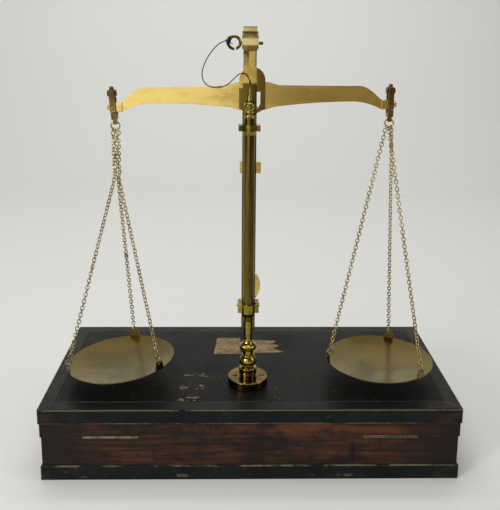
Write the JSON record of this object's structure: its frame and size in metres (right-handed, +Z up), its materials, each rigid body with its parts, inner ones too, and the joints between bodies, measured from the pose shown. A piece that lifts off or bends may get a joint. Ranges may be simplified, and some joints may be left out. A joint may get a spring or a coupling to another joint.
{
  "type": "beam scale",
  "caption": "Brass beam scale on the lid of a wooden case: turned pillar, sliding bar with hook, shears, knife-edge beam, stirrups, chains and two round pans.",
  "frame": {"origin": "centre of the case's flat underside", "axes": "+X to the right along the case's long side and the beam, +Z up, the case's hinges on the -Y side"},
  "size_m": [0.388, 0.1879, 0.4118],
  "materials": {
    "brass": "aged lacquered brass, satin",
    "polished_brass": "polished brass",
    "pan_brass": "brushed dull brass",
    "bronze": "dark browned brass",
    "steel": "worn bright steel",
    "black_wood": "ebonised, worn through in places",
    "mahogany": "dark polished mahogany",
    "paper": "yellowed paper",
    "cord": "black braided cord"
  },
  "bodies": {
    "case": {"plinth_long_rails": "black_wood", "plinth_side_rails": "black_wood", "bottom_board": "black_wood", "front_board": "mahogany", "rear_board": "mahogany", "left_board": "mahogany", "right_board": "mahogany", "hinge_case_leaves": "steel", "hinge_pins": "steel", "hinge_case_screws": "steel", "catch_stud": "brass"},
    "lid": {"lid_front_board": "mahogany", "lid_rear_board": "mahogany", "lid_left_board": "mahogany", "lid_right_board": "mahogany", "lid_frame_long_rails": "black_wood", "lid_frame_side_rails": "black_wood", "lid_panel": "black_wood", "paper_label": "paper", "hinge_lid_leaves": "steel", "hinge_lid_screws": "steel", "catch_screw": "brass", "pillar_flange": "brass", "flange_screws": "brass", "pillar_foot": "brass", "pillar_rod": "brass", "pillar_tube": "brass", "finial": "polished_brass", "upper_collar": "brass", "upper_collar_plate": "brass", "collar_screws": "bronze", "lower_collar": "brass"},
    "catch": {"catch_hook": "brass"},
    "clamp": {"clamp_shaft": "polished_brass", "clamp_lever": "polished_brass"},
    "lift": {"lift_bar": "brass", "lift_stop": "polished_brass", "lift_stop_screws": "steel", "gooseneck": "polished_brass", "gooseneck_cheeks": "polished_brass"},
    "cross_pin": {"suspension_pin": "brass", "pin_ring": "brass", "pin_cord": "cord"},
    "shears": {"shears": "brass", "knife_bearings": "steel"},
    "beam": {"beam": "polished_brass", "centre_knife": "steel", "beam_ends": "brass", "end_knives": "steel", "balance_nuts": "brass", "tongue": "brass"},
    "left_stirrup": {"left_stirrup": "bronze"},
    "right_stirrup": {"right_stirrup": "bronze"},
    "left_hanger": {"left_hanger_ring": "bronze", "left_chains": "bronze", "left_pan": "pan_brass"},
    "right_hanger": {"right_hanger_ring": "bronze", "right_chains": "bronze", "right_pan": "pan_brass"}
  },
  "joints": [
    {"name": "lid_hinge", "type": "hinge", "parent": "case", "child": "lid", "pos_m": [0, -0.091, 0.0428], "axis": [1, 0, 0], "range_deg": [0, 95]},
    {"name": "catch_swing", "type": "hinge", "parent": "lid", "child": "catch", "pos_m": [-0.011, 0.0924, 0.05065], "axis": [0, -1, 0], "range_deg": [-45, 46.85]},
    {"name": "clamp_turn", "type": "hinge", "parent": "lid", "child": "clamp", "pos_m": [-0.0024, -0.0315, 0.14855], "axis": [1, 0, 0], "range_deg": [-85, 0]},
    {"name": "beam_lift", "type": "slide", "parent": "lid", "child": "lift", "axis": [0, 0, 1], "range_m": [0, 0.0195]},
    {"name": "pin_draw", "type": "slide", "parent": "lift", "child": "cross_pin", "axis": [-1, 0, 0], "range_m": [0, 0.022]},
    {"name": "shears_swing", "type": "hinge", "parent": "lift", "child": "shears", "pos_m": [0, -0.0282, 0.397], "axis": [1, 0, 0], "range_deg": [-1.2, 1.2]},
    {"name": "beam_rock", "type": "hinge", "parent": "shears", "child": "beam", "pos_m": [0, -0.0282, 0.3516], "axis": [0, 1, 0], "range_deg": [-3, 3]},
    {"name": "left_stirrup_swing", "type": "hinge", "parent": "beam", "child": "left_stirrup", "pos_m": [-0.12682, -0.0282, 0.33862], "axis": [0, 1, 0], "range_deg": [-6, 6]},
    {"name": "right_stirrup_swing", "type": "hinge", "parent": "beam", "child": "right_stirrup", "pos_m": [0.12715, -0.0282, 0.34238], "axis": [0, 1, 0], "range_deg": [-6, 6]},
    {"name": "left_hanger_swing", "type": "hinge", "parent": "left_stirrup", "child": "left_hanger", "pos_m": [-0.12565, -0.0282, 0.32527], "axis": [0.9962, 0, 0.0872], "range_deg": [-4, 4]},
    {"name": "right_hanger_swing", "type": "hinge", "parent": "right_stirrup", "child": "right_hanger", "pos_m": [0.12715, -0.0282, 0.32899], "axis": [1, 0, 0], "range_deg": [-4, 4]}
  ]
}
